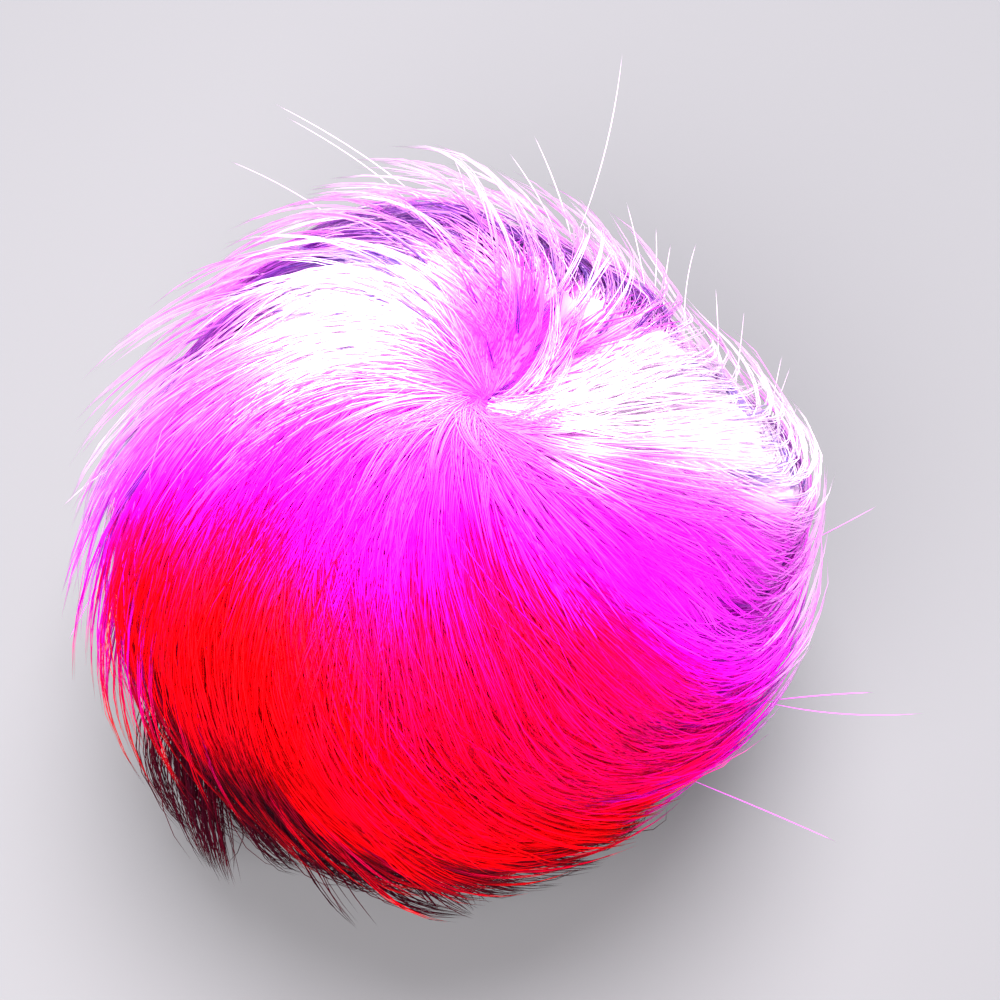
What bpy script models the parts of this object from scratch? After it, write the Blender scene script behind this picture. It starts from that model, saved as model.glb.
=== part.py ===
"""A long-haired fur pom pom: a pelt gathered into a ball, its hair combed in one whorl.

Metres, +Z up. The ball rests on a small flat spot at z = 0, and the origin is the middle
of its outline there. Seen from above, the hair leaves the crown and sweeps round
counter-clockwise, falling to the floor, and it gathers into uneven locks.
"""

from math import acos, cos, pi, radians, sin, tan

import bmesh
import bpy

# Driving sizes of the ball. Its locks and tufts make it about 4 mm wider and 4 mm deeper.
WIDTH = 0.1165
DEPTH = 0.1140
HEIGHT = 0.094
WIDEST_AT = 0.42 * HEIGHT  # the hair sags, so the ball is widest below its middle
FULLNESS = 2.15  # exponent of the side's curve: 2 is an ellipse, more is boxier
FOOT_SHARE = 0.46  # radius of the flat spot, as a share of the radius at the widest
CROWN_LEAN = 0.004  # how far the crown leans along +X

# The hair's lay: the angle that it makes with the way straight down from the crown.
CROWN_LAY = radians(14)
RIM_LAY = radians(52)
FALL_LAY = radians(34)  # under the rim the hair hangs more steeply
SIDE_LAY = radians(4)  # it lies flatter on one side and steeper on the other
SIDE_AZIMUTH = radians(5)

# The locks, as families of ridges that run along the hair. Unlike counts keep them uneven.
LOCK_FAMILIES = (
    # count round the ball, height, phase, drift along the hair
    dict(count=7, height=0.0016, phase=0.4, drift=0.5),
    dict(count=12, height=0.0013, phase=1.9, drift=-0.7),
    dict(count=19, height=0.0012, phase=0.9, drift=0.9),
    dict(count=31, height=0.0007, phase=2.6, drift=-1.3),
)
# Tufts stand out from the ball where they have come loose from the comb, and where the reach
# is below 0 the coat is pressed flatter than round.
TUFTS = (
    # azimuth and polar angle from the crown, in degrees; reach beyond the ball; half width
    dict(azimuth=44, polar=68, reach=-0.0078, half_width=46),
    dict(azimuth=148, polar=72, reach=-0.0028, half_width=34),
    dict(azimuth=236, polar=104, reach=-0.0018, half_width=30),
    dict(azimuth=296, polar=110, reach=-0.0016, half_width=24),
    dict(azimuth=205, polar=98, reach=0.0020, half_width=24),
    dict(azimuth=262, polar=104, reach=0.0018, half_width=20),
    dict(azimuth=350, polar=88, reach=0.0016, half_width=30),
)
CROWN_DIP = 0.0030  # the parting where the whorl starts, and its radius
CROWN_DIP_RADIUS = 0.011

COLUMNS = 104  # lines of hair round the ball
RINGS = 30  # from the crown to the flat spot
FIRST_RING = radians(5)

FUR_PINK = (0.90, 0.02, 0.33, 1.0)


def smooth_step(low, high, value):
    share = min(1.0, max(0.0, (value - low) / (high - low)))
    return share * share * (3 - 2 * share)


def lay_angle(polar, azimuth):
    """The hair's angle from straight down, at this place on the ball."""
    down_to_rim = CROWN_LAY + (RIM_LAY - CROWN_LAY) * smooth_step(0, pi / 2, polar)
    falling = (FALL_LAY - RIM_LAY) * smooth_step(pi / 2, 0.75 * pi, polar)
    leaning = SIDE_LAY * cos(azimuth - SIDE_AZIMUTH) * smooth_step(0, pi / 3, polar)
    return down_to_rim + falling + leaning


def foot_polar():
    """The polar angle at which the side's curve meets the flat spot."""
    return pi - acos((1 - FOOT_SHARE**FULLNESS) ** 0.5)


def side_point(polar):
    """(share of the radius, height) of the ball's side at a polar angle from the crown."""
    bend = 2 / FULLNESS
    if polar <= pi / 2:
        rise = HEIGHT - WIDEST_AT
        return sin(polar) ** bend, WIDEST_AT + rise * cos(polar) ** bend
    fall_at_foot = (1 - FOOT_SHARE**FULLNESS) ** (1 / FULLNESS)
    fall = WIDEST_AT / fall_at_foot
    return sin(polar) ** bend, WIDEST_AT - fall * (-cos(polar)) ** bend


def lock_height(azimuth, share):
    """How far the locks stand out on one line of hair, at a share of its way down."""
    height = 0.0
    for family in LOCK_FAMILIES:
        turn = 0.5 * family["count"] * azimuth + family["phase"]
        height += family["height"] * (abs(cos(turn)) - 0.5)
        height += 0.5 * family["height"] * cos(2 * turn + 2 * pi * family["drift"] * share)
    return height * sin(pi * min(1.0, share)) ** 0.6


def tuft_height(polar, azimuth):
    height = 0.0
    for tuft in TUFTS:
        turn = azimuth - radians(tuft["azimuth"])
        across = abs((turn + pi) % (2 * pi) - pi) * sin(polar)
        along = (polar - radians(tuft["polar"])) / 1.6
        away = (across**2 + along**2) ** 0.5 / radians(tuft["half_width"])
        height += tuft["reach"] * (1 - smooth_step(0, 1, away))
    return height


def hair_point(line, polar, azimuth, share):
    """A point of the ball's surface. line is the azimuth at which this line of hair began."""
    radius_share, height = side_point(polar)
    stand = lock_height(line, share) + tuft_height(polar, azimuth)
    across_x = radius_share * WIDTH / 2 + stand * sin(polar)
    across_y = radius_share * DEPTH / 2 + stand * sin(polar)
    from_crown = radius_share * WIDTH / 2
    dip = CROWN_DIP * (1 - smooth_step(0, CROWN_DIP_RADIUS, from_crown))
    lean = CROWN_LEAN * (height / HEIGHT) ** 2
    up = stand * cos(polar) if polar < pi / 2 else 0.0
    return (
        across_x * cos(azimuth) + lean,
        across_y * sin(azimuth),
        max(0.0, height + up - dip),
    )


def comb_rings():
    """The ball's rings of points, from the crown down. A column of them is a line of hair."""
    last = foot_polar()
    lines = [2 * pi * column / COLUMNS for column in range(COLUMNS)]
    azimuths = list(lines)
    rings = []
    for ring in range(RINGS):
        share = ring / (RINGS - 1)
        polar = FIRST_RING + (last - FIRST_RING) * share
        rings.append(
            [hair_point(line, polar, now, share) for line, now in zip(lines, azimuths)]
        )
        step = (last - FIRST_RING) / (RINGS - 1)
        middle = polar + step / 2
        azimuths = [now + step * tan(lay_angle(middle, now)) / sin(middle) for now in azimuths]
    return rings


def neighbours(ring):
    """Each corner of a closed ring with the one after it."""
    return zip(ring, ring[1:] + ring[:1])


def build_ball():
    """Joins each ring to the one below it, then closes the crown and the flat spot."""
    mesh = bmesh.new()
    rings = [[mesh.verts.new(point) for point in points] for points in comb_rings()]
    for upper, lower in zip(rings, rings[1:]):
        for (upper_a, upper_b), (lower_a, lower_b) in zip(neighbours(upper), neighbours(lower)):
            mesh.faces.new((upper_a, lower_a, lower_b, upper_b))
    crown_ring, foot_ring = rings[0], rings[-1]
    for corner in foot_ring:
        corner.co.z = 0.0
    crown_height = sum(corner.co.z for corner in crown_ring) / COLUMNS
    crown = mesh.verts.new((CROWN_LEAN, 0.0, crown_height - CROWN_DIP / 4))
    for corner, following in neighbours(crown_ring):
        mesh.faces.new((crown, corner, following))
    mesh.faces.new(reversed(foot_ring))
    bmesh.ops.recalc_face_normals(mesh, faces=mesh.faces)
    centre_outline(mesh)
    data = bpy.data.meshes.new("fur_ball")
    mesh.to_mesh(data)
    mesh.free()
    data.shade_smooth()
    ball = bpy.data.objects.new("fur_ball", data)
    bpy.context.scene.collection.objects.link(ball)
    return ball


def centre_outline(mesh):
    """Moves the ball so that the middle of its outline is over the origin."""
    for axis in (0, 1):
        places = [corner.co[axis] for corner in mesh.verts]
        middle = (min(places) + max(places)) / 2
        for corner in mesh.verts:
            corner.co[axis] -= middle


def fur_material():
    material = bpy.data.materials.new("dyed_fur")
    material.use_nodes = True
    shader = material.node_tree.nodes["Principled BSDF"]
    shader.inputs["Base Color"].default_value = FUR_PINK
    shader.inputs["Roughness"].default_value = 0.55
    shader.inputs["Metallic"].default_value = 0.0
    shader.inputs["Sheen Weight"].default_value = 0.4
    return material


def main():
    for old in list(bpy.data.objects):
        bpy.data.objects.remove(old)
    build_ball().data.materials.append(fur_material())


main()
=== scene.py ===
# %% [markdown]
# # A long-haired fur pom pom
# A furrier cuts a round of dyed pelt, gathers it into a ball with a drawstring and combs the
# hair round one crown. This lesson keeps that order. We measure the ball, settle how its hair
# lies, how it is dyed and where light and shade are painted on it, and then grow the hair:
# locks first, wisps in the locks, and single hairs in the wisps. The ball itself comes from the
# fixed frame, which we load first.

# %% Load the fixed frame
from math import cos, pi, radians, sin

import bpy
import numpy as np
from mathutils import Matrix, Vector
from mathutils.kdtree import KDTree


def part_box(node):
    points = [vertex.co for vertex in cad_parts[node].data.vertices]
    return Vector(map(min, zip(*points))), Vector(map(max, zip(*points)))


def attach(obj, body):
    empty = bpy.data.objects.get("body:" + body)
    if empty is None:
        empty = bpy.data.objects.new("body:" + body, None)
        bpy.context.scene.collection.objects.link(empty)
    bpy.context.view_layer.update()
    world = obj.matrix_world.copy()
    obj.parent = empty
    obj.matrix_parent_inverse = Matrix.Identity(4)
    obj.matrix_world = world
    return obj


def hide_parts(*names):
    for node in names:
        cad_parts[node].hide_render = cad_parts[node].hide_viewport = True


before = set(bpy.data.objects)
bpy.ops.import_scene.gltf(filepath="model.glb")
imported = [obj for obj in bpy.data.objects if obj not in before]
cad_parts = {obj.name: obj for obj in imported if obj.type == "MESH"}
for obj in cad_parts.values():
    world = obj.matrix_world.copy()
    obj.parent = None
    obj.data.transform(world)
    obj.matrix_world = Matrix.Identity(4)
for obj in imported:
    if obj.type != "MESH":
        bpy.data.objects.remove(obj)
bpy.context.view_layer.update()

low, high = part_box("fur_ball")
HALF_WIDTH = (high.x - low.x) / 2
HEIGHT = high.z
MIDDLE_HEIGHT = 0.42 * HEIGHT  # the hair sags, so the ball is widest below its middle
print("ball", [round(1000 * side, 1) for side in high - low], "mm")

# %% [markdown]
# ## The camera
# The pom pom is seen from close by and steeply from above, so that the whole whorl shows. A
# camera looks down its own -Z axis, and to_track_quat turns that axis towards the point that
# we aim at. Shifting the lens moves the picture without turning the camera.

# %% Place the camera
ELEVATION = radians(68)
DISTANCE = 0.300
AIM = Vector((0.0, 0.0, 0.040))
LENS_MM = 67.0
SENSOR_MM = 36.0
SHIFT_RIGHT, SHIFT_UP = 0.046, 0.034  # as shares of the sensor
NEAREST = 0.01

camera_data = bpy.data.cameras.new("camera")
camera_data.sensor_width = SENSOR_MM
camera_data.lens = LENS_MM
camera_data.shift_x = SHIFT_RIGHT
camera_data.shift_y = SHIFT_UP
camera_data.clip_start = NEAREST
camera = bpy.data.objects.new("camera", camera_data)
bpy.context.scene.collection.objects.link(camera)
camera.location = AIM + DISTANCE * Vector((0.0, -cos(ELEVATION), sin(ELEVATION)))
camera.rotation_euler = (AIM - camera.location).to_track_quat("-Z", "Y").to_euler()
bpy.context.scene.camera = camera
bpy.context.scene.view_settings.view_transform = "Standard"
print("camera at", [round(place, 3) for place in camera.location])

# %% [markdown]
# ## The floor
# A plain floor carries the ball's shadow. It is a mid grey that the strong lights bring up to
# a pale one, so that it throws little light back into the fur.

# %% Floor
FLOOR_GREY = (0.17, 0.17, 0.178, 1)
FLOOR_SIZE = 6.0
FLOOR_ROUGHNESS = 0.7
bpy.ops.object.select_all(action="DESELECT")
bpy.ops.mesh.primitive_plane_add(size=FLOOR_SIZE, location=(0, 0, 0))
floor = bpy.context.object
floor.name = "floor"
floor_paint = bpy.data.materials.new("pale_floor")
floor_paint.use_nodes = True
floor_shader = floor_paint.node_tree.nodes["Principled BSDF"]
floor_shader.inputs["Base Color"].default_value = FLOOR_GREY
floor_shader.inputs["Roughness"].default_value = FLOOR_ROUGHNESS
floor.data.materials.append(floor_paint)
print("floor", FLOOR_SIZE, "m across")

# %% [markdown]
# ## The light
# Fur looks best in large soft lights, which leave no hard shadow of one hair on the next. The
# key stands behind the ball, so the far side of the fur shines and the near side is calmer.

# %% Lights
LIGHTS = (
    # name, place, size across, watts, colour
    ("key", (0.04, 0.24, 0.72), 0.45, 14.5, (1.0, 0.97, 1.0)),
    ("fill", (-0.25, -0.42, 0.62), 0.65, 12.0, (1.0, 0.96, 0.96)),
)
SKY_COLOUR = (0.93, 0.94, 1.0, 1)
SKY_STRENGTH = 0.45


def soft_light(name, place, size, watts, colour):
    data = bpy.data.lights.new(name, "AREA")
    data.shape = "DISK"
    data.size = size
    data.energy = watts
    data.color = colour
    light = bpy.data.objects.new(name, data)
    bpy.context.scene.collection.objects.link(light)
    light.location = place
    light.rotation_euler = (AIM - Vector(place)).to_track_quat("-Z", "Y").to_euler()


for row in LIGHTS:
    soft_light(*row)
world = bpy.data.worlds.new("studio")
world.use_nodes = True
sky = world.node_tree.nodes["Background"]
sky.inputs["Color"].default_value = SKY_COLOUR
sky.inputs["Strength"].default_value = SKY_STRENGTH
bpy.context.scene.world = world
print(len(LIGHTS), "lights and a sky")

# %% [markdown]
# ## Places on the ball
# Hair lies on a round form, so a place on it is given as on a globe: a polar angle from the
# crown, an azimuth round it, and a depth, which is 1 at the outer surface. The crown leans a
# little to one side, and the globe leans with it.

# %% Directions from the middle
MIDDLE = Vector((0.0, 0.0, MIDDLE_HEIGHT))
CROWN = Vector((0.004, 0.0, HEIGHT))
UP = np.array((CROWN - MIDDLE).normalized())
ACROSS = np.array((1.0, 0.0, 0.0)) - UP[0] * UP
ACROSS /= np.linalg.norm(ACROSS)
BACK = np.cross(UP, ACROSS)


def direction(polar, azimuth):
    flat = np.cos(azimuth)[..., None] * ACROSS + np.sin(azimuth)[..., None] * BACK
    return np.sin(polar)[..., None] * flat + np.cos(polar)[..., None] * UP


print("the crown leans", round(1000 * CROWN.x, 1), "mm")

# %% [markdown]
# The frame's ball has locks and dents that a formula would miss. So we cast rays from its
# middle in every direction, as a potter feels a form with a pair of callipers, and note how
# far away the surface is. Hair that uses these radii follows the real form.

# %% Measure the ball with rays
RAY_ROWS, RAY_COLUMNS = 61, 120


def cast_rays(ball):
    rows, columns = np.meshgrid(
        np.linspace(0, pi, RAY_ROWS), np.linspace(0, 2 * pi, RAY_COLUMNS + 1), indexing="ij"
    )
    found = np.empty(rows.shape)
    for spot, ray in zip(np.ndindex(rows.shape), direction(rows, columns).reshape(-1, 3)):
        _, place, _, _ = ball.ray_cast(MIDDLE, Vector(ray))
        found[spot] = (place - MIDDLE).length
    return found


REACH = cast_rays(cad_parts["fur_ball"])
print("radius", round(1000 * REACH.min(), 1), "to", round(1000 * REACH.max(), 1), "mm")

# %% [markdown]
# Between the rays the radius is blended, as a map's heights are read between its grid lines.
# With it, angles and depths turn into places, and places back into angles.

# %% From angles to places
def reach(polar, azimuth):
    """Radius of the ball in a direction, blended between the four nearest rays."""
    row = np.clip(polar / pi, 0, 0.9999) * (RAY_ROWS - 1)
    column = (azimuth / (2 * pi) % 1.0) * RAY_COLUMNS
    i, j = row.astype(int), column.astype(int) % RAY_COLUMNS
    a, b = row - i, column - column.astype(int)
    upper = REACH[i, j] * (1 - b) + REACH[i, j + 1] * b
    lower = REACH[i + 1, j] * (1 - b) + REACH[i + 1, j + 1] * b
    return upper * (1 - a) + lower * a


def place_on_ball(polar, azimuth, depth=1.0):
    radius = reach(polar, azimuth) * depth
    return np.array(MIDDLE) + direction(polar, azimuth) * radius[..., None]


def away_from_middle(points):
    away = points - np.array(MIDDLE)
    return away / np.linalg.norm(away, axis=-1, keepdims=True)


def angle_from(points, polar, azimuth):
    """The angle at the ball's middle between places and one direction, given in degrees."""
    centre = direction(np.array(radians(polar)), np.array(radians(azimuth)))
    return np.arccos(np.clip(away_from_middle(points) @ centre, -1, 1))


def azimuth_of(points):
    away = away_from_middle(points)
    return np.arctan2(away @ BACK, away @ ACROSS)


crown_place = place_on_ball(np.array(0.0), np.array(0.0))
print("crown at", [round(1000 * float(side), 1) for side in crown_place], "mm")

# %% [markdown]
# ## The lay of the hair
# The lay is the angle between a hair and the way straight down from the crown. It is small at
# the crown and grows towards the rim, which winds the hair into a whorl. On the right side the
# hair runs almost straight out from the crown and then turns sharply along the rim. We write
# the lay as one function of place, so that every kind of hair and the underfur can share it.

# %% The lay
CROWN_LAY = radians(18)
MIDDLE_TURN = radians(16)  # what the lay gains half way to the rim
RIM_TURN = radians(12)  # and what it gains at the rim
RIGHT_MIDDLE = radians(-18)  # the same two for the right side, on top
RIGHT_RIM = radians(56)
RIGHT_AZIMUTH = radians(5)
FALL_LAY = radians(38)  # under the rim the hair hangs more steeply
# polar angles between which each of these turns comes in
MIDDLE_SPAN = (0, radians(50))
RIM_SPAN = (radians(42), radians(82))
RIGHT_SPAN = (radians(44), radians(68))
FALL_SPAN = (pi / 2, 0.75 * pi)


def smooth(low_end, high_end, value):
    share = np.clip((value - low_end) / (high_end - low_end), 0, 1)
    return share * share * (3 - 2 * share)


def lay(polar, azimuth):
    right = 0.5 + 0.5 * np.cos(azimuth - RIGHT_AZIMUTH)
    middle = (MIDDLE_TURN + RIGHT_MIDDLE * right) * smooth(*MIDDLE_SPAN, polar)
    rim = RIM_TURN * smooth(*RIM_SPAN, polar)
    right_rim = RIGHT_RIM * right**1.5 * smooth(*RIGHT_SPAN, polar)
    wound = CROWN_LAY + middle + rim + right_rim
    return wound + (FALL_LAY - wound) * smooth(*FALL_SPAN, polar)


print("lay at the left rim", round(np.degrees(lay(np.array(pi / 2), np.array(pi)))), "degrees")

# %% [markdown]
# A comb drawn along the coat follows the lay in small steps, and so does the next function: it
# walks each hair from its root, a third of a station at a time, and notes the stations. Hair
# that turns aside from the lay turns most at the crown, where the comb has least hold on it.

# %% Comb along the lay
STATIONS = 7  # points along a combed hair
STRIDES = 3  # steps from one point to the next
FIRST_POLAR = 0.004
LAST_POLAR = radians(168)
LOOSE_CROWN = radians(24)  # how far from the crown the comb has less hold
CROWN_TURN = 0.5  # and how much more a hair turns aside there


def comb(polar, azimuth, length, turn, stations=STATIONS):
    """Runs each hair from its root along the lay. Returns its polar angles and azimuths."""
    polars, azimuths = [polar], [azimuth]
    stride = length / (stations - 1) / STRIDES
    for _ in range(stations - 1):
        for _ in range(STRIDES):
            radius = reach(polar, azimuth)
            aside = 1 + CROWN_TURN * (1 - smooth(0, LOOSE_CROWN, polar))
            heading = lay(polar, azimuth) + turn * aside
            polar = polar + stride * np.cos(heading) / radius
            polar = np.clip(polar, FIRST_POLAR, LAST_POLAR)
            azimuth = azimuth + stride * np.sin(heading) / (radius * np.sin(polar))
        polars.append(polar)
        azimuths.append(azimuth)
    return np.stack(polars, 1), np.stack(azimuths, 1)


print("a combed hair has", STATIONS, "stations,", STRIDES, "steps apart")

# %% [markdown]
# ## Closed and open coat
# The coat lies closed round the crown. Towards its rim it opens into wisps, and the deeper root
# colour, painted shade, shows between them. It stays closed longest on the near side. A number
# from 0 to 1 says how open it is at a place, and later steps use it for depth, dye and shape.

# %% Where the coat opens
CLOSED_MIDDLE = (22, -90)  # polar angle and azimuth in degrees
CLOSED_REACH = radians(48)  # how far from there the coat is closed
CLOSED_LONGER = radians(17)  # and how much farther on the near side
LONGEST_AZIMUTH = radians(265)
OPENING = radians(12)  # the width of the band in which it opens


def openness(points, later=0.0):
    """0 in the closed coat and 1 in the open one. Some locks open later than others."""
    longer = 0.5 + 0.5 * np.cos(azimuth_of(points) - LONGEST_AZIMUTH)
    start = CLOSED_REACH + CLOSED_LONGER * longer + later
    return smooth(0, OPENING, angle_from(points, *CLOSED_MIDDLE) - start)


closed_reaches = np.degrees([CLOSED_REACH, CLOSED_REACH + CLOSED_LONGER])
print("the coat is closed for", closed_reaches.round().astype(int), "degrees round its middle")

# %% [markdown]
# ## The dye and the painted light
# The pelt is one hot pink, and light and shade are painted over it in bands that melt into
# each other: a painted highlight, white, at the back and painted shade, red, at the front. One
# number says how the hair is coloured at a place, its dye and the painted light together: 0 is
# the near-black of painted deep shade on the underside, 0.3 is red, 0.5 hot pink, 0.7 magenta,
# 0.85 pale orchid and 1 the white of a painted highlight. It falls from the back of the ball to
# the front and from the crown to the underside, and a few patches of painted highlight and
# painted shade have their own.

# %% Bands and patches of dye and painted light
FRONT_TO_BACK = (-0.97, -0.88, -0.82, -0.73, -0.60, -0.52, -0.43, -0.35, -0.26, -0.17, -0.08, 0.20)
DYE_AND_LIGHT_THERE = (0.29, 0.30, 0.31, 0.36, 0.40, 0.44, 0.52, 0.64, 0.69, 0.73, 0.78, 0.87)
RIGHT_SLANT = 0.28  # the bands run lower on the right side
LEFT_SHADE_DROP = 0.22  # and the left side is redder, painted shade
EDGE_SHADE_DROP = 0.15  # most of all at its edge, painted shade
FRONT_SHADE_DROP = 0.24  # painted shade makes the front deeper along its lower edge
UNDER_SHADE_DROP = 0.30  # and the underside too, painted shade
# where these drops fade: front to back, then towards the left, then upwards
NEAR_EDGE, FRONT_HALF, LEFT_FRONT = (-0.75, -0.45), (-0.30, -0.05), (-0.34, -0.14)
LEFT_SIDE, LEFT_EDGE = (0.15, 0.50), (0.3, 0.8)
LOW_FRONT, UNDERSIDE = (0.95, 1.50), (0.15, 1.00)
HIGHLIGHT_AND_SHADE_PATCHES = (
    # polar angle, azimuth and half width in degrees, change of the dye and light number
    (27, 141, 26, 0.20),  # painted highlight, behind the crown to the left
    (17, 0, 11, 0.14),  # painted highlights, from the crown to the right
    (31, 4, 20, 0.24),
    (48, 8, 22, 0.32),
    (18, -32, 9, 0.12),
    (36, 50, 18, 0.06),
    (38, -42, 22, -0.05),  # the bands melt more slowly on the near right
    (56, -60, 24, 0.05),
    (13, 78, 18, -0.12),  # painted shade just behind the crown
    (76, 140, 34, -0.09),  # and painted shade at the edges
    (84, -6, 26, -0.12),
)


def dye_at(points, shift=0.0):
    """Dye and painted light at places on the ball. A shift draws the bands along the hair."""
    across = points[..., 0] / HALF_WIDTH
    back = points[..., 1] / HALF_WIDTH + RIGHT_SLANT * np.maximum(across, 0)
    back += shift * smooth(*NEAR_EDGE, back)
    front = 1 - smooth(*FRONT_HALF, back)
    # the bands: white at the back is a painted highlight, red at the front painted shade
    dye = np.interp(back, FRONT_TO_BACK, DYE_AND_LIGHT_THERE)
    # painted shade: the left side, its open edge, the low front and the underside are made deeper
    dye -= LEFT_SHADE_DROP * smooth(*LEFT_SIDE, -across) * (1 - smooth(*LEFT_FRONT, back))
    dye -= EDGE_SHADE_DROP * openness(points) * front * smooth(*LEFT_EDGE, -across)
    rise = points[..., 2] / MIDDLE_HEIGHT
    dye -= FRONT_SHADE_DROP * (1 - smooth(*LOW_FRONT, rise)) * (1 - smooth(*NEAR_EDGE, back))
    dye -= UNDER_SHADE_DROP * (1 - smooth(*UNDERSIDE, rise))
    # patches of painted highlight and painted shade
    for polar, azimuth, half_width, change in HIGHLIGHT_AND_SHADE_PATCHES:
        dye += change * (1 - smooth(0, radians(half_width), angle_from(points, polar, azimuth)))
    return dye


print(len(HIGHLIGHT_AND_SHADE_PATCHES), "patches over", len(DYE_AND_LIGHT_THERE), "bands")

# %% [markdown]
# The painted bands of light and shade are not straight, because locks carry them along: they
# run out in tongues down the hair. A tongue belongs to a line of hair, so we follow each place
# back up the lay to where its line left the crown.

# %% Tongues of the painted bands
TONGUES = (
    # line of hair and half width in degrees, how far the bands move along it
    (138, 22, -0.11),
    (168, 10, -0.05),
    (184, 10, 0.03),
    (210, 12, 0.09),
    (224, 9, -0.06),
    (236, 9, 0.03),
    (255, 24, -0.13),
    (287, 18, 0.05),
)
SMALL_TONGUES = (
    # how many round the crown, how far the bands move, phase
    (22, 0.020, 4.0),
    (37, 0.018, 1.2),
)
CROWN_EDGE = radians(8)  # lines of hair are told apart from here on
STEPS_BACK = 40


def line_of(polar, azimuth):
    """The azimuth at which the line of hair through a place left the crown."""
    stride = (polar - CROWN_EDGE) / STEPS_BACK
    for _ in range(STEPS_BACK):
        azimuth = azimuth - stride * np.tan(lay(polar, azimuth)) / np.sin(polar)
        polar = polar - stride
    return azimuth


def tongue_shift(polar, azimuth):
    line = line_of(np.maximum(polar, CROWN_EDGE), azimuth)
    shift = sum(move * np.cos(count * line + phase) for count, move, phase in SMALL_TONGUES)
    for middle, half_width, change in TONGUES:
        away = np.abs((line - radians(middle) + pi) % (2 * pi) - pi)
        shift += change * (1 - smooth(0, radians(half_width), away))
    return shift


print(len(TONGUES), "tongues, and", sum(row[0] for row in SMALL_TONGUES), "small ones")

# %% [markdown]
# The roots' colours are far deeper than the tips': a little of that is the fur's own deeper dye
# near the skin, and most is painted shade between the hairs. So the colour comes from two ramps,
# one for the roots and one for the tips. A colour ramp node holds such a row of colours, and
# the dye and light number picks the place on it.

# %% Ramps of dye and painted light
# tips: near black at 0 is painted deep shade, red is painted shade, white at 1 a painted highlight
TIP_COLOURS = (
    # place on the ramp, colour
    (0.00, (0.012, 0.000, 0.005)),
    (0.10, (0.20, 0.000, 0.010)),
    (0.20, (0.85, 0.000, 0.003)),
    (0.28, (1.00, 0.000, 0.006)),
    (0.35, (1.00, 0.000, 0.035)),
    (0.41, (1.00, 0.000, 0.11)),
    (0.48, (1.00, 0.000, 0.28)),
    (0.56, (1.00, 0.001, 0.55)),
    (0.63, (1.00, 0.006, 0.85)),
    (0.70, (1.00, 0.020, 1.00)),
    (0.78, (1.00, 0.070, 1.00)),
    (0.84, (1.00, 0.17, 1.00)),
    (0.88, (1.00, 0.28, 1.00)),
    (0.93, (1.00, 0.48, 1.00)),
    (1.00, (1.00, 0.85, 1.00)),
)
# roots: a little deeper dye, and mostly painted shade between the hairs
ROOT_SHADE_COLOURS = (
    (0.00, (0.008, 0.000, 0.003)),
    (0.15, (0.05, 0.000, 0.004)),
    (0.30, (0.22, 0.000, 0.008)),
    (0.42, (0.38, 0.000, 0.04)),
    (0.56, (0.30, 0.000, 0.22)),
    (0.68, (0.14, 0.002, 0.28)),
    (0.80, (0.055, 0.006, 0.20)),
    (0.92, (0.060, 0.012, 0.24)),
    (1.00, (0.22, 0.10, 0.55)),
)


def ramp_node(nodes, rows):
    ramp = nodes.new("ShaderNodeValToRGB")
    stops = ramp.color_ramp.elements
    stops[0].position, stops[0].color = rows[0][0], (*rows[0][1], 1)
    stops[1].position, stops[1].color = rows[-1][0], (*rows[-1][1], 1)
    for position, colour in rows[1:-1]:
        stops.new(position).color = (*colour, 1)
    return ramp


print(len(TIP_COLOURS), "colours for the tips,", len(ROOT_SHADE_COLOURS), "for the roots")

# %% [markdown]
# A hair goes from the root colour, which is mostly painted shade, to the tip colour along its
# length. Three materials need this, so it becomes a node group: it is wired once, and each
# material places it with its own value for where the roots end.

# %% Node group for dye and painted shade
GROUP_INPUTS = (("Dye And Light", 0.5), ("Along", 0.5), ("Roots End", 0.5))


def dye_group():
    group = bpy.data.node_groups.new("dyed hair", "ShaderNodeTree")
    for name, value in GROUP_INPUTS:
        socket = group.interface.new_socket(name, in_out="INPUT", socket_type="NodeSocketFloat")
        socket.default_value = value
    group.interface.new_socket("Color", in_out="OUTPUT", socket_type="NodeSocketColor")
    nodes, links = group.nodes, group.links
    enter = nodes.new("NodeGroupInput")
    leave = nodes.new("NodeGroupOutput")
    # the roots' ramp is mostly painted shade between the hairs
    roots, tips = ramp_node(nodes, ROOT_SHADE_COLOURS), ramp_node(nodes, TIP_COLOURS)
    share = nodes.new("ShaderNodeMapRange")
    share.interpolation_type = "SMOOTHSTEP"
    blend = nodes.new("ShaderNodeMix")
    blend.data_type = "RGBA"
    links.new(enter.outputs["Dye And Light"], roots.inputs["Fac"])
    links.new(enter.outputs["Dye And Light"], tips.inputs["Fac"])
    links.new(enter.outputs["Along"], share.inputs["Value"])
    links.new(enter.outputs["Roots End"], share.inputs["From Max"])
    links.new(share.outputs["Result"], blend.inputs["Factor"])
    links.new(roots.outputs["Color"], blend.inputs[6])  # the colour sockets of Mix, A and B
    links.new(tips.outputs["Color"], blend.inputs[7])
    links.new(blend.outputs[2], leave.inputs["Color"])
    return group


fur_dye = dye_group()
print("node group", fur_dye.name, "with", len(fur_dye.nodes), "nodes")

# %% [markdown]
# ## Hair materials
# A hair is far too thin for a pattern of its own. Its UV map therefore holds two numbers: in U
# how far along the hair a place is, and in V its dye and painted light number. The combed coat
# is soft, and the long guard hairs over it have a little more shine.

# %% Hair materials
HAIR_MAP = "OFBake"
HAIR_SHINE = 0.05  # dyed fur reflects little, so its colours stay deep


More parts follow.
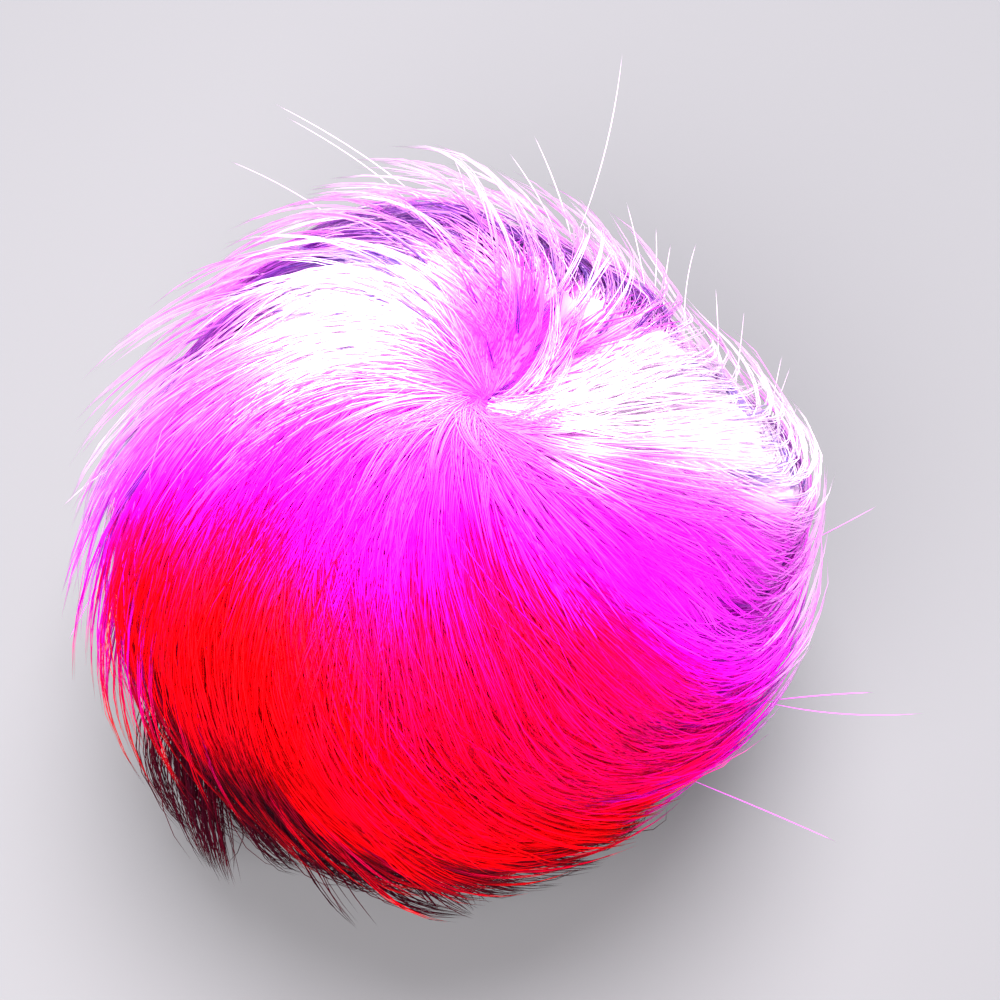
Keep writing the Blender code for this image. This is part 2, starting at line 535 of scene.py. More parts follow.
def hair_material(name, roots_end, roughness):
    material = bpy.data.materials.new(name)
    material.use_nodes = True
    nodes, links = material.node_tree.nodes, material.node_tree.links
    shader = nodes["Principled BSDF"]
    shader.inputs["Roughness"].default_value = roughness
    shader.inputs["Specular IOR Level"].default_value = HAIR_SHINE
    numbers = nodes.new("ShaderNodeUVMap")
    numbers.uv_map = HAIR_MAP
    split = nodes.new("ShaderNodeSeparateXYZ")
    dye = nodes.new("ShaderNodeGroup")
    dye.node_tree = fur_dye
    dye.inputs["Roots End"].default_value = roots_end
    links.new(numbers.outputs["UV"], split.inputs["Vector"])
    links.new(split.outputs["X"], dye.inputs["Along"])
    links.new(split.outputs["Y"], dye.inputs["Dye And Light"])
    links.new(dye.outputs["Color"], shader.inputs["Base Color"])
    return material


combed_fur = hair_material("combed_fur", roots_end=0.45, roughness=0.50)
guard_fur = hair_material("guard_fur", roots_end=0.30, roughness=0.40)
print("materials", combed_fur.name, "and", guard_fur.name)

# %% [markdown]
# ## Hair as a mesh
# Each hair is a three-sided tube that ends in a point. Blender's own hair curves would look
# finer, but a library part needs real meshes. Thousands of tubes are joined into one object
# straight from arrays, which is the only way that many small things stay quick. First come
# the three corners round every station of every hair.

# %% Rings round a hair
SIDES = 3


def sideways_and_up(paths):
    """Two directions at each point of each path: along the ball's surface, and away from it."""
    along = np.gradient(paths, axis=1)
    along /= np.linalg.norm(along, axis=-1, keepdims=True)
    side = np.cross(along, paths - np.array(MIDDLE))
    side /= np.linalg.norm(side, axis=-1, keepdims=True)
    return side, np.cross(side, along)


def cross_rings(points, widths):
    side, up = sideways_and_up(points)
    angles = (2 * pi * np.arange(SIDES) / SIDES)[:, None]
    spokes = up[:, :, None] * np.cos(angles) + side[:, :, None] * np.sin(angles)
    return points[:, :, None] + 0.5 * widths[..., None, None] * spokes


# %% [markdown]
# The faces of one hair are the same for all: a cap at its root, four-sided faces along it and
# three triangles that meet in its tip. So they are listed once, as corner numbers in order.

# %% Faces of one hair
def tube_faces(stations):
    faces = [[2, 1, 0]]
    for ring in range(stations - 2):
        for side in range(SIDES):
            a, b = SIDES * ring + side, SIDES * ring + (side + 1) % SIDES
            faces.append([a, b, b + SIDES, a + SIDES])
    last, tip = SIDES * (stations - 2), SIDES * (stations - 1)
    faces += [[last + side, last + (side + 1) % SIDES, tip] for side in range(SIDES)]
    return faces


def triangles_of(stations):
    return sum(len(face) - 2 for face in tube_faces(stations))


print("a hair of", STATIONS, "stations has", triangles_of(STATIONS), "triangles")

# %% [markdown]
# foreach_set hands a whole array to a mesh in one call. A mesh keeps its corners in one list,
# the corner numbers of all faces in a second, and where each face starts in a third. The UV
# map is filled the same way, with the place along the hair and the dye number.

# %% Join hairs into one object
FLOOR_GAP = 0.0006
RAMP_ENDS = (0.01, 0.99)  # numbers stay inside these, off the very ends of the ramps


def fill_mesh(mesh, corners, faces):
    """Gives a mesh the same faces for each hair. The corners' array runs (hair, corner)."""
    hairs, corners_each = corners.shape[:2]
    one_hair = np.concatenate([np.array(face) for face in faces])
    loops = (one_hair[None] + corners_each * np.arange(hairs)[:, None]).ravel()
    sizes = np.tile([len(face) for face in faces], hairs)
    starts = np.concatenate([[0], np.cumsum(sizes)[:-1]])
    mesh.vertices.add(hairs * corners_each)
    mesh.vertices.foreach_set("co", corners.astype(np.float32).ravel())
    mesh.loops.add(len(loops))
    mesh.loops.foreach_set("vertex_index", loops.astype(np.int32))
    mesh.polygons.add(len(sizes))
    mesh.polygons.foreach_set("loop_start", starts.astype(np.int32))
    mesh.update(calc_edges=True)
    mesh.shade_smooth()
    return loops


def fill_hair_map(mesh, loops, along, dye):
    stations = along.shape[1]
    station_of = np.append(np.repeat(np.arange(stations - 1), SIDES), stations - 1)
    numbers = np.clip(np.stack([along, dye], -1), *RAMP_ENDS)[:, station_of].reshape(-1, 2)
    layer = mesh.uv_layers.new(name=HAIR_MAP)
    layer.uv.foreach_set("vector", numbers[loops].astype(np.float32).ravel())


def hair_object(name, paths, widths, along, dye, material):
    """Joins hairs into one object. All arrays run (hair, station)."""
    hairs, stations = paths.shape[:2]
    points = paths.copy()
    points[..., 2] = np.maximum(points[..., 2], FLOOR_GAP)
    rings = cross_rings(points, widths)[:, :-1].reshape(hairs, -1, 3)
    corners = np.concatenate([rings, points[:, -1:]], 1)
    mesh = bpy.data.meshes.new(name)
    loops = fill_mesh(mesh, corners, tube_faces(stations))
    fill_hair_map(mesh, loops, along, dye)
    mesh.materials.append(material)
    piece = bpy.data.objects.new(name, mesh)
    bpy.context.scene.collection.objects.link(piece)
    print(name, hairs, "hairs,", hairs * triangles_of(stations), "triangles")
    return piece


# %% [markdown]
# ## Locks, wisps and hairs
# Combed fur falls into locks, a lock into wisps and a wisp into hairs, and each is drawn
# towards the one above it the nearer it comes to its tip. We sow roots at three levels on a
# golden spiral, which spreads them evenly, and find for each root the nearest one of the
# level above, its parent. A k-d tree finds it quickly among thousands.

# %% Sow the roots
dice = np.random.default_rng(5)  # seeded, so each run grows the same coat
GOLDEN_ANGLE = pi * (3 - 5**0.5)
LOWEST_ROOT = radians(128)


def sow(count, crowding, wobble):
    """Spreads roots evenly, or closer together near the crown where crowding is over 1."""
    share = ((np.arange(count) + 0.5) / count) ** crowding
    polar = np.arccos(1 - (1 - cos(LOWEST_ROOT)) * share) + wobble * dice.normal(size=count)
    azimuth = np.arange(count) * GOLDEN_ANGLE
    azimuth += wobble * dice.normal(size=count) / np.maximum(np.sin(polar), 0.1)
    return np.clip(np.abs(polar), FIRST_POLAR, LOWEST_ROOT), azimuth % (2 * pi)


def nearest(places, centres):
    tree = KDTree(len(centres))
    for index, centre in enumerate(centres):
        tree.insert(centre, index)
    tree.balance()
    return np.array([tree.find(place)[1] for place in places])


print("roots are sown down to", round(np.degrees(LOWEST_ROOT)), "degrees from the crown")

# %% [markdown]
# A hair starts in the underfur and rises to the surface as it runs. At the crown the skin
# comes up to the parting, so there the hair starts near the surface. Where the coat is open
# its mass lies lower, which leaves room for the wisps above it. On the far left the hair is
# blown out a little, and on the near right it is pressed in.

# %% How deep the hair lies
CROWN_SPREAD = radians(24)
PARTING_DEPTH = 0.955
SKIN_DEPTH = 0.93
OPEN_DROP = 0.095
FAR_FLARE = 0.078
NEAR_FLARE = -0.030
FLARE_AZIMUTH = radians(136)
FLARE_SPAN = (radians(30), radians(75))  # polar angles between which it comes in


def skin_depth(polar, azimuth):
    closed = PARTING_DEPTH - (PARTING_DEPTH - SKIN_DEPTH) * smooth(0, CROWN_SPREAD, polar)
    return closed - OPEN_DROP * openness(place_on_ball(polar, azimuth))


def flare(polar, azimuth):
    """How far loose hair stands out, as a share of the radius."""
    rim = smooth(*FLARE_SPAN, polar)
    far = 0.5 + 0.5 * np.cos(azimuth - FLARE_AZIMUTH)
    return rim * (FAR_FLARE * far + NEAR_FLARE * (1 - far) ** 2)


print("loose hair flares by", NEAR_FLARE, "to", FAR_FLARE, "of the radius")

# %% [markdown]
# Now a hair can grow. Its traits are its root, its length, its turn away from the lay, the
# depth of its tip and how late its lock opens. The combed mass drops where the coat opens,
# and loose hair, which is grown with no drop, keeps its height and flares in full.

# %% Grow and gather
MASS_FLARE = 0.5  # the combed mass flares half as far as loose hair
WHOLE_COAT = dict(turn=0.0, tip=0.972, length=0.036, dye=0.0, later=0.0)


def shares(paths):
    """How far along its hair each point lies, from 0 at the root to 1 at the tip."""
    return np.linspace(0, 1, paths.shape[1])


def grow(hair, stations=STATIONS, drop=OPEN_DROP):
    polars, azimuths = comb(hair["polar"], hair["azimuth"], hair["length"], hair["turn"], stations)
    tip_polar, tip_azimuth = polars[:, -1], azimuths[:, -1]
    opened = openness(place_on_ball(tip_polar, tip_azimuth), hair.get("later", 0.0))
    lift = flare(tip_polar, tip_azimuth) * (1.0 if drop == 0 else MASS_FLARE)
    end = hair["tip"] + lift - drop * opened
    start = skin_depth(hair["polar"], hair["azimuth"])[:, None]
    rise = shares(polars) ** 0.9
    return place_on_ball(polars, azimuths, start + (end[:, None] - start) * rise)


def gather(paths, parents, pull, sharpness=1.5):
    """Draws each path towards its parent's, most at the tip."""
    return paths + (parents - paths) * (pull * shares(paths) ** sharpness)[..., None]


sample = grow(dict(WHOLE_COAT, polar=np.array([0.5]), azimuth=np.zeros(1)))[0]
sample_run = Vector(sample[-1] - sample[0]).length
print("the tip of a sample hair is", round(1000 * sample_run, 1), "mm from its root")

# %% [markdown]
# Each level gives its members the traits of their parents, varied a little. The locks vary
# most in turn and height, which makes them lie over each other, and the single hairs hardly
# at all. Where the coat is open, members are pulled together harder and leave gaps.

# %% Three levels of the coat
LOCKS, WISPS, HAIRS = 260, 2400, 20700
LEAST_PULL, MORE_PULL, OPEN_PULL = 0.25, 0.25, 0.35


def level(count, crowding, wobble, parent=None, **spread):
    """Sows one level of the coat, and varies its parents' traits by the spread of each."""
    polar, azimuth = sow(count, crowding, wobble)
    hair = dict(polar=polar, azimuth=azimuth, places=place_on_ball(polar, azimuth))
    of = nearest(hair["places"], parent["places"]) if parent else None
    for trait, amount in spread.items():
        start = parent[trait][of] if parent else WHOLE_COAT[trait]
        hair[trait] = start + amount * dice.normal(size=count)
    hair["shift"] = tongue_shift(polar, azimuth)
    hair["paths"] = grow(hair)
    if parent:
        pull = LEAST_PULL + MORE_PULL * dice.random(count)
        pull += OPEN_PULL * openness(hair["paths"][:, -1], hair["later"])
        hair["paths"] = gather(hair["paths"], parent["paths"][of], pull[:, None])
    return hair


locks = level(
    LOCKS, 1.1, 0.04,
    turn=radians(7), tip=0.020, length=0.004, dye=0.030, later=radians(4),
)
wisps = level(
    WISPS, 1.25, 0.02, locks,
    turn=radians(5), tip=0.014, length=0.004, dye=0.020, later=radians(4),
)
hairs = level(
    HAIRS, 1.35, 0.012, wisps,
    turn=radians(4), tip=0.007, length=0.003, dye=0.012, later=radians(2),
)
print(LOCKS, "locks,", WISPS, "wisps,", HAIRS, "hairs")

# %% [markdown]
# ## The combed coat
# A real hair is slim at its root, full in the middle and drawn out to a point. Ours are a few
# times thicker than real ones, because there are fewer of them. The closed coat takes the tip
# colour down to its roots, which paints the light that comes through it from all round. In the
# open coat the mass takes the deep root colour, painted shade, and only the loose wisps above
# it are pale.

# %% Thickness and place along a hair
HAIR_WIDTH = 0.00021
CLOSED_WIDER = 1.34  # hair of the closed coat is wider than that, so no gap shows
OPEN_NARROWER = 0.54  # and hair of the open coat is narrower again
PROFILE = ((0, 0.3, 0.75, 1), (0.7, 1.0, 0.75, 0.15))  # places along a hair, and widths there
THINNEST, WIDTH_RANGE = 0.8, 0.4  # hairs differ in width by these shares


def thickness(paths, width):
    profile = np.interp(shares(paths), *PROFILE)
    return width * profile * (THINNEST + WIDTH_RANGE * dice.random(len(paths)))[:, None]


def place_along(paths, later):
    """Place along the hair, as the dye sees it; in the open coat it is low, painted shade."""
    opened = openness(paths, later)
    share = shares(paths)
    noise = 0.10 * dice.normal(size=len(paths))[:, None]
    closed_coat = 0.6 + 0.4 * share + noise
    open_coat = 0.10 * share + 0.8 * np.abs(noise)
    return closed_coat + (open_coat - closed_coat) * opened


print("hairs are up to", round(1000 * HAIR_WIDTH * CLOSED_WIDER, 2), "mm wide before they vary")

# %% [markdown]
# The coat is cut into five sectors round the crown, as a furrier might cut gores, so that no
# object grows too heavy. A hair belongs to the sector in which it has its root.

# %% Combed hair
SECTORS = 5


def combed_pieces():
    paths = hairs["paths"]
    narrower = CLOSED_WIDER - OPEN_NARROWER * openness(paths)
    width = thickness(paths, HAIR_WIDTH) * narrower
    # the place along paints light in the closed coat and shade in the open one
    along = place_along(paths, hairs["later"][:, None])
    dye = dye_at(paths, hairs["shift"][:, None]) + hairs["dye"][:, None]
    sector = (hairs["azimuth"] * SECTORS / (2 * pi)).astype(int)
    pieces = []
    for number in range(SECTORS):
        own = sector == number
        name = f"combed_hair_{number + 1}"
        pieces.append(hair_object(name, paths[own], width[own], along[own], dye[own], combed_fur))
    return pieces


pieces = combed_pieces()

# %% [markdown]
# ## Loose wisps
# A wisp is half a dozen hairs that cling together, and they end at different lengths, so its
# tip is frayed. We grow the middle line of each wisp first, and then set hairs round it that
# draw together towards the tip.

# %% Shorten a hair
def shorten(paths, factor):
    """Ends each hair short of its full length."""
    place = factor[:, None] * np.arange(paths.shape[1])
    before = np.minimum(place.astype(int), paths.shape[1] - 2)[..., None]
    after = (place[..., None] - before) * np.ones(3)
    near = np.take_along_axis(paths, before * np.ones(3, int), 1)
    far = np.take_along_axis(paths, before * np.ones(3, int) + 1, 1)
    return near * (1 - after) + far * after


ruler = np.linspace((0, 0, 0), (0, 0, 1), STATIONS)[None]
print("three quarters of a ruler:", shorten(ruler, np.array([0.75]))[0, -1, 2])

# %% [markdown]
# The hairs of a wisp start side by side, keep their distance as far as the middle and close in
# towards the tip. A few of them splay out again at the very end.

# %% Fill a wisp with hairs
WISP_SPREAD = 0.0005
TIP_SPREAD = 0.0004
CLOSE_IN = ((0, 0.4, 1), (1, 1, 0.25))  # places along a hair, and its share of the spread there


def fill_wisps(centres, hairs_each, spread, tip_spread):
    paths = np.repeat(centres, hairs_each, 0)
    side, up = sideways_and_up(paths)
    count = len(paths)
    reach_out = spread * np.interp(shares(paths), *CLOSE_IN)
    across = dice.uniform(-1, 1, count)[:, None] * reach_out
    lift = 0.5 * dice.uniform(-1, 1, count)[:, None] * reach_out
    across = across + tip_spread * dice.normal(size=count)[:, None] * shares(paths) ** 2
    paths = paths + side * across[..., None] + up * lift[..., None]
    return shorten(paths, dice.uniform(0.75, 1.0, count))


print("a wisp is", 2000 * WISP_SPREAD, "mm wide, and its tips splay by", 1000 * TIP_SPREAD, "mm")

# %% [markdown]
# Loose wisps lie over the open coat, and a wisp is kept only where the coat under its tip is
# open. They are pale towards their tips, painted light through the fine tips, and palest of all
# at the right rim, a painted highlight. On the near left they stay duller, painted shade, and
# where the coat is red they are pinker than the hair below them.

# %% Loose wisps
WISP_STATIONS = 8
WISP_WIDTH = 0.00015
WISP_LENGTH = 0.040
DULL_AZIMUTH = radians(222)  # the near left, where painted shade dulls the wisps
PALE_AZIMUTH = radians(-22)  # the right rim, where the tips carry a painted highlight
DULL_PINK, RIM_PALE = 0.14, 0.20  # how much each side changes the dye number
RED_DYES, PALE_DYES = (0.30, 0.62), (0.75, 0.90)  # dye numbers where that fades out
ROOT_PLACE, PLACE_GAIN = 0.12, 0.70  # the place along the hair, as the dye sees it
DULL_LOSS = 0.6  # how much of that the near left loses, painted shade


def wisp_centres(count):
    polar, azimuth = sow(count, 1.0, 0.03)
    wisp = dict(
        polar=0.84 * polar,
        azimuth=azimuth,
        length=WISP_LENGTH + 0.005 * dice.normal(size=count),
        turn=radians(5) * dice.normal(size=count),
        tip=1.000 + 0.020 * dice.normal(size=count),
    )
    centres = grow(wisp, WISP_STATIONS, drop=0.0)
    kept = openness(centres[:, -1]) > 0.15 + 0.6 * dice.random(count)
    return centres[kept]


def loose_wisps(count, hairs_each):
    centres = wisp_centres(count)
    print(len(centres), "loose wisps")
    paths = fill_wisps(centres, hairs_each, WISP_SPREAD, TIP_SPREAD)
    # painted shade on the near left: its wisps take more of the darker root colour
    dull = (0.5 + 0.5 * np.cos(azimuth_of(paths) - DULL_AZIMUTH)) ** 1.3
    along = (ROOT_PLACE + PLACE_GAIN * shares(paths)) * (1 - DULL_LOSS * dull)
    along -= 0.15 * dice.random(len(paths))[:, None]
    own_dye = np.repeat(0.02 + 0.03 * dice.normal(size=len(centres)), hairs_each)
    # paler towards the tips: painted light through the fine tips
    dye = dye_at(paths) + own_dye[:, None] + 0.03 * shares(paths)
    dye += (0.10 + DULL_PINK * dull) * (1 - smooth(*RED_DYES, dye))
    # a painted highlight on the tips at the right rim
    pale = np.maximum(np.cos(azimuth_of(paths) - PALE_AZIMUTH), 0) ** 6
    dye += RIM_PALE * pale * shares(paths) * (1 - smooth(*PALE_DYES, dye))
    width = thickness(paths, WISP_WIDTH)
    return hair_object("loose_wisps", paths, width, along, dye, combed_fur)


pieces.append(loose_wisps(count=650, hairs_each=6))

# %% [markdown]
# ## Crown wisps
# Pale wisps, painted highlight, also leave the crown itself, over the magenta on the near side.
# The brightest of them make one long straight streak of painted highlight towards the right,
# and a fainter one towards the left.

# %% Crown wisps
CROWN_WISP_WIDTH = 0.00018
CROWN_WISP_SPREAD = 0.0011
FAN_START, FAN_WIDTH = radians(175), radians(180)  # they fan out over the near side
HIGHLIGHT_STREAKS = (
    # azimuth and half width in degrees, brightness
    (318, 10, 1.0),
    (184, 9, 0.3),
)


def crown_wisps(count, hairs_each):
    azimuth = FAN_START + FAN_WIDTH * (np.arange(count) + dice.random(count)) / count
    bright = sum(
        amount * np.exp(-(((azimuth - radians(middle)) / radians(half_width)) ** 2))
        for middle, half_width, amount in HIGHLIGHT_STREAKS
    )
    wisp = dict(
        polar=radians(1.5) + radians(3) * dice.random(count),
        azimuth=azimuth,
        length=0.012 + 0.016 * dice.random(count) + 0.008 * bright,
        turn=radians(12) * dice.normal(size=count) * (1 - 0.7 * bright),
        tip=1.0 + 0.006 * dice.normal(size=count),
    )
    paths = fill_wisps(grow(wisp), hairs_each, CROWN_WISP_SPREAD, TIP_SPREAD)
    along = np.repeat(0.6 + 0.4 * shares(paths)[None], len(paths), 0)
    # the streaks' painted highlight raises the number towards white
    own_dye = np.repeat(0.03 + 0.08 * dice.random(count) + 0.16 * bright, hairs_each)[:, None]
    dye = dye_at(paths) + own_dye * (1 - 0.3 * shares(paths))
    width = thickness(paths, CROWN_WISP_WIDTH)
    return hair_object("crown_wisps", paths, width, along, dye, guard_fur)


pieces.append(crown_wisps(count=42, hairs_each=12))

# %% [markdown]
# ## Guard hairs
# A pelt has short underfur and long guard hairs, and the longest guard hairs lie loosely over
# the rest and cross them at their own angles. Ours are thin and pale, so that each shows as one
# line. A few hundred are enough to break up the order of the comb.

# %% Guard hairs
GUARDS = 900
GUARD_WIDTH = 0.00014
GUARD_LENGTH = 0.044


def guard_hairs():
    polar, azimuth = sow(GUARDS, 1.3, 0.05)
    hair = dict(
        polar=polar,
        azimuth=azimuth,
        length=GUARD_LENGTH * (1 + 0.15 * dice.normal(size=GUARDS)),
        turn=radians(11) * dice.normal(size=GUARDS),
        tip=1.0 + 0.020 * dice.normal(size=GUARDS),
    )
    paths = grow(hair, WISP_STATIONS)
    along = np.repeat(0.5 + 0.5 * shares(paths)[None], GUARDS, 0)
    dye = dye_at(paths) + 0.06
    return hair_object("guard_hair", paths, thickness(paths, GUARD_WIDTH), along, dye, guard_fur)


pieces.append(guard_hairs())

# %% [markdown]
# ## Stray hairs
# A few long hairs have come loose and stand away from the outline. They catch the eye, so
# each has a row of its own: where it leaves the coat, where its tip is, and how far it bows.

# %% Stray hairs
STRAYS = (
    # azimuth and polar angle of the root in degrees; tip x, y, z in mm; sideways bow in mm
    (67, 62, 27, 71, 70, 1.5),
    (99, 62, -30, 70, 58, 2.5),
    (101, 64, -28, 68, 57, 2.0),
    (115, 68, -38, 64, 50, 1.0),
    (90, 62, 0, 61, 55, 0.5),
    (45, 62, 33, 48, 55, 0.5),
    (41, 65, 36, 48, 50, -0.6),
    (36, 66, 40, 47, 52, -1.5),
    (47, 60, 28, 51, 58, 0.6),
    (28, 68, 42, 36, 56, 0.8),
    (25, 74, 47, 34, 52, 1.0),
    (17, 76, 53, 27, 50, -0.6),
    (16, 80, 55, 27, 46, 0.4),
    (9, 84, 56, 21, 44, 0.8),
    (5, 88, 58, 18, 42, 1.2),
    (-2, 86, 68, 4, 42, -1.0),
    (-30, 88, 66, -26, 38, -1.0),
    (-33, 80, 73, -30, 40, 1.5),
    (-46, 95, 60, -48, 30, -1.0),
    (172, 82, -63, 4, 42, 1.2),
    (188, 90, -62, -16, 34, 1.0),
    (70, 60, 9, 59, 60, 1.5),
    (66, 60, 13, 61, 62, 1.5),
)
STRAY_STATIONS = 12
STRAY_WIDTH = 0.00018
STRAY_ROOT_DEPTH = 0.93


def stray_path(azimuth, polar, x, y, z, bow):
    angles = np.array(radians(polar)), np.array(radians(azimuth))
    root = place_on_ball(*angles, STRAY_ROOT_DEPTH)
    tip = np.array((x, y, z)) / 1000
    share = np.linspace(0, 1, STRAY_STATIONS)[:, None]
    sideways = np.cross(tip - root, root - np.array(MIDDLE))
    sideways /= np.linalg.norm(sideways)
    return root + (tip - root) * share + sideways * (bow / 1000 * 4 * share * (1 - share))


def stray_hairs():
    paths = np.stack([stray_path(*row) for row in STRAYS])
    along = np.ones(paths.shape[:2])
    dye = np.maximum(dye_at(paths) + 0.1, 0.82)
    return hair_object("stray_hair", paths, thickness(paths, STRAY_WIDTH), along, dye, guard_fur)


pieces.append(stray_hairs())

# %% [markdown]
# ## Dark fur below, painted shade
# Low on the near left side, hair coloured almost black, painted deep shade, hangs out from
# under the ball to the floor. It has two levels, tufts and hairs, and one tuft stands out
# beyond the others.

# %% Dark fur below, painted shade
DEEP_SIDE = (radians(204), radians(292))  # azimuths between which it shows
DEEP_TUFTS, DEEP_HAIRS = 60, 1500
HIGHEST_ROOT, ROOT_BAND = radians(97), radians(18)  # polar angle, and how far down it goes
TUFT_AZIMUTH, TUFT_REACH = radians(214), radians(24)
DEEP_WIDTH = 0.00020
DEEP_LENGTH = 0.024


def shade_dark_level(count, parent=None):
    azimuth = DEEP_SIDE[0] + (DEEP_SIDE[1] - DEEP_SIDE[0]) * dice.random(count)
    polar = HIGHEST_ROOT + ROOT_BAND * dice.random(count)
    tuft = 1 - smooth(0, TUFT_REACH, np.abs(azimuth - TUFT_AZIMUTH))
    hair = dict(polar=polar, azimuth=azimuth, places=place_on_ball(polar, azimuth))
    hair["length"] = DEEP_LENGTH + 0.004 * dice.normal(size=count)
    hair["turn"] = radians(7) * dice.normal(size=count)
    hair["tip"] = 1.11 + 0.12 * tuft + 0.03 * dice.normal(size=count)
    hair["paths"] = grow(hair, drop=0.0)
    if parent:
        near = nearest(hair["places"], parent["places"])
        pull = 0.65 + 0.3 * dice.random(count)[:, None]
        hair["paths"] = gather(hair["paths"], parent["paths"][near], pull)
    return hair


def shade_dark_fur():
    paths = shade_dark_level(DEEP_HAIRS, shade_dark_level(DEEP_TUFTS))["paths"]
    along = np.repeat(0.4 + 0.6 * shares(paths)[None], len(paths), 0)
    # numbers near 0: near-black, painted deep shade
    dye = 0.03 * dice.random(len(paths))[:, None] * np.ones(paths.shape[1])
    return hair_object("shade_dark_fur", paths, thickness(paths, DEEP_WIDTH), along, dye, combed_fur)


pieces.append(shade_dark_fur())

# %% [markdown]
# ## Underfur
# Under the long hair lies short, dense underfur, which closes every gap. It could be more
# hairs, but so little of it shows that one closed form is enough. It starts as a globe.

# %% Underfur globe
FUR_LINES, FUR_RINGS = 144, 60
bpy.ops.object.select_all(action="DESELECT")
bpy.ops.mesh.primitive_uv_sphere_add(
    segments=FUR_LINES, ring_count=FUR_RINGS, radius=1.0, location=(0, 0, 0)
)
underfur = bpy.context.object
underfur.name = "underfur"
mesh = underfur.data
print("underfur", FUR_LINES * (2 * FUR_RINGS - 2), "triangles")

# %% [markdown]
# We comb the globe's meridians along the lay, so that its ridges and its streaks run with the
# hair over them. Then every corner moves out to the depth of the skin there, with shallow
# ridges between furrows. Round the crown it sinks a little, so that hair hides the parting.

# %% Underfur form
WINDING_STEPS = 60
LAST_WOUND = radians(150)
CROWN_SINK = 0.007  # as a share of the radius
SINK_REACH = radians(40)
FLOOR_LEVEL = 0.001
BROAD_RIDGES, FINE_RIDGES = (0.010, 9.5, 1), (0.008, 16, 2)  # height, half the count, phase
MEAN_RIDGE = 0.004


def ridge(line, height, half_count, phase):
    return height * np.abs(np.cos(half_count * line + phase))


def wound(polar, line):
    """Azimuths of places down lines of hair that leave the crown at the given azimuths."""
    azimuth = line.copy()
    for step in range(WINDING_STEPS):
        now = polar * (step + 0.5) / WINDING_STEPS
        turn = np.tan(lay(now, azimuth)) / np.maximum(np.sin(now), 0.15)
        azimuth += polar / WINDING_STEPS * turn
    return azimuth


unit = np.array([corner.co for corner in mesh.vertices])
polar = np.arccos(np.clip(unit[:, 2], -1, 1))
line = np.arctan2(unit[:, 1], unit[:, 0])
azimuth = wound(np.minimum(polar, LAST_WOUND), line)
ridges = ridge(line, *BROAD_RIDGES) + ridge(line, *FINE_RIDGES)
sink = CROWN_SINK * (1 - smooth(0, SINK_REACH, polar))
depth = skin_depth(polar, azimuth) - sink + (ridges - MEAN_RIDGE) * np.sin(polar)
under = place_on_ball(polar, azimuth, depth)
under[:, 2] = np.maximum(under[:, 2], FLOOR_LEVEL)
mesh.vertices.foreach_set("co", under.astype(np.float32).ravel())
mesh.update()
mesh.shade_smooth()
print("underfur", [round(1000 * side, 1) for side in np.ptp(under, axis=0)], "mm")

# %% [markdown]
# The underfur is one surface, so its numbers are stored at its corners, as attributes that the
# material reads: the dye and painted light number, and the place along a hair that its colour
# stands for, which is low where the coat is open and so paints shade there. Its own UV map
# still runs round and down the globe, which is what streaks need.

# %% Underfur numbers
mesh.uv_layers[0].name = HAIR_MAP
NUMBERS = (
    ("dye", dye_at(under)),
    # low where the coat is open, so the root colour there paints shade
    ("place", 0.15 + 0.75 * (1 - openness(under))),
)
for name, values in NUMBERS:
    attribute = mesh.attributes.new(name, "FLOAT", "POINT")
    attribute.data.foreach_set("value", np.clip(values, *RAMP_ENDS).astype(np.float32))
    print(name, "from", round(float(values.min()), 2), "to", round(float(values.max()), 2))

# %% [markdown]
# Noise stretched far down the globe looks like fine hair. The same noise shifts the place
# along the hair, which streaks the colour, and feeds a bump, which streaks the light.

# %% Underfur material
STREAK_SCALE = (260, 9, 1)  # round the ball and down it
STREAK_DEPTH = 0.7  # how far the noise shifts the place along the hair
BUMP_HEIGHT = 0.0004
BUMP_STRENGTH = 0.5
FUR_ROUGHNESS, FUR_SHINE = 0.7, 0.1


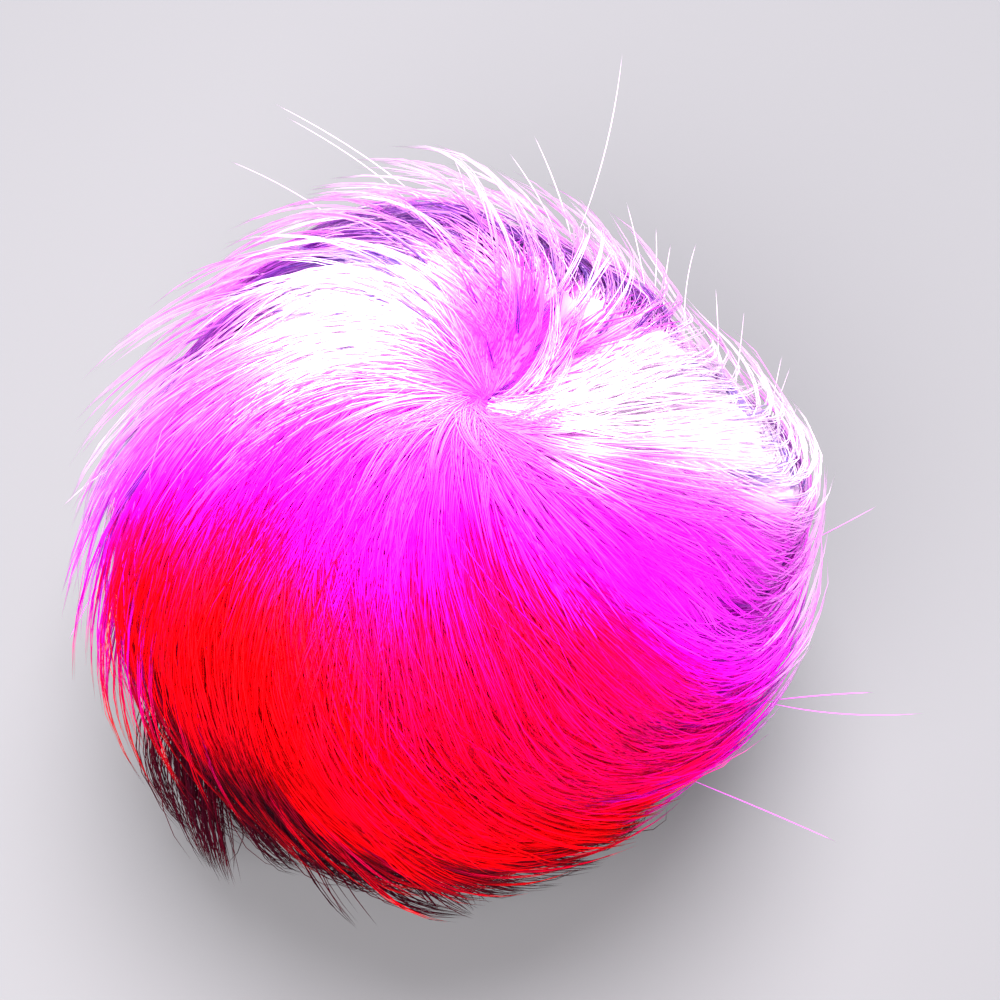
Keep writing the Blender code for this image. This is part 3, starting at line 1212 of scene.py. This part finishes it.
def streak_nodes(nodes, links):
    """Fine noise that runs with the hair. Returns the node that makes it."""
    combed_map = nodes.new("ShaderNodeUVMap")
    combed_map.uv_map = HAIR_MAP
    stretch = nodes.new("ShaderNodeMapping")
    stretch.inputs["Scale"].default_value = STREAK_SCALE
    streaks = nodes.new("ShaderNodeTexNoise")
    streaks.inputs["Scale"].default_value = 1.0
    streaks.inputs["Detail"].default_value = 2.0
    links.new(combed_map.outputs["UV"], stretch.inputs["Vector"])
    links.new(stretch.outputs["Vector"], streaks.inputs["Vector"])
    return streaks


def number_node(nodes, name):
    number = nodes.new("ShaderNodeAttribute")
    number.attribute_name = name
    return number


def sum_node(nodes, operation, amount):
    node = nodes.new("ShaderNodeMath")
    node.operation = operation
    node.inputs[1].default_value = amount
    return node


def underfur_material():
    material = bpy.data.materials.new("underfur")
    material.use_nodes = True
    nodes, links = material.node_tree.nodes, material.node_tree.links
    shader = nodes["Principled BSDF"]
    shader.inputs["Roughness"].default_value = FUR_ROUGHNESS
    shader.inputs["Specular IOR Level"].default_value = FUR_SHINE
    streaks = streak_nodes(nodes, links)
    spread = sum_node(nodes, "MULTIPLY_ADD", STREAK_DEPTH)
    centred = sum_node(nodes, "SUBTRACT", STREAK_DEPTH / 2)
    dye = nodes.new("ShaderNodeGroup")
    dye.node_tree = fur_dye
    dye.inputs["Roots End"].default_value = 0.6
    bump = nodes.new("ShaderNodeBump")
    bump.inputs["Strength"].default_value = BUMP_STRENGTH
    bump.inputs["Distance"].default_value = BUMP_HEIGHT
    links.new(streaks.outputs["Fac"], spread.inputs[0])
    links.new(number_node(nodes, "place").outputs["Fac"], spread.inputs[2])
    links.new(spread.outputs["Value"], centred.inputs[0])
    links.new(centred.outputs["Value"], dye.inputs["Along"])
    links.new(number_node(nodes, "dye").outputs["Fac"], dye.inputs["Dye And Light"])
    links.new(streaks.outputs["Fac"], bump.inputs["Height"])
    links.new(dye.outputs["Color"], shader.inputs["Base Color"])
    links.new(bump.outputs["Normal"], shader.inputs["Normal"])
    return material


mesh.materials.append(underfur_material())
print("material", mesh.materials[0].name)

# %% [markdown]
# ## Attach the pieces to the body
# The whole ball is one body, so every piece rides on the root. The underfur stands in for the
# frame's ball, which is hidden.

for piece in [underfur] + pieces:
    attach(piece, "root")
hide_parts("fur_ball")
print(len(pieces) + 1, "pieces")
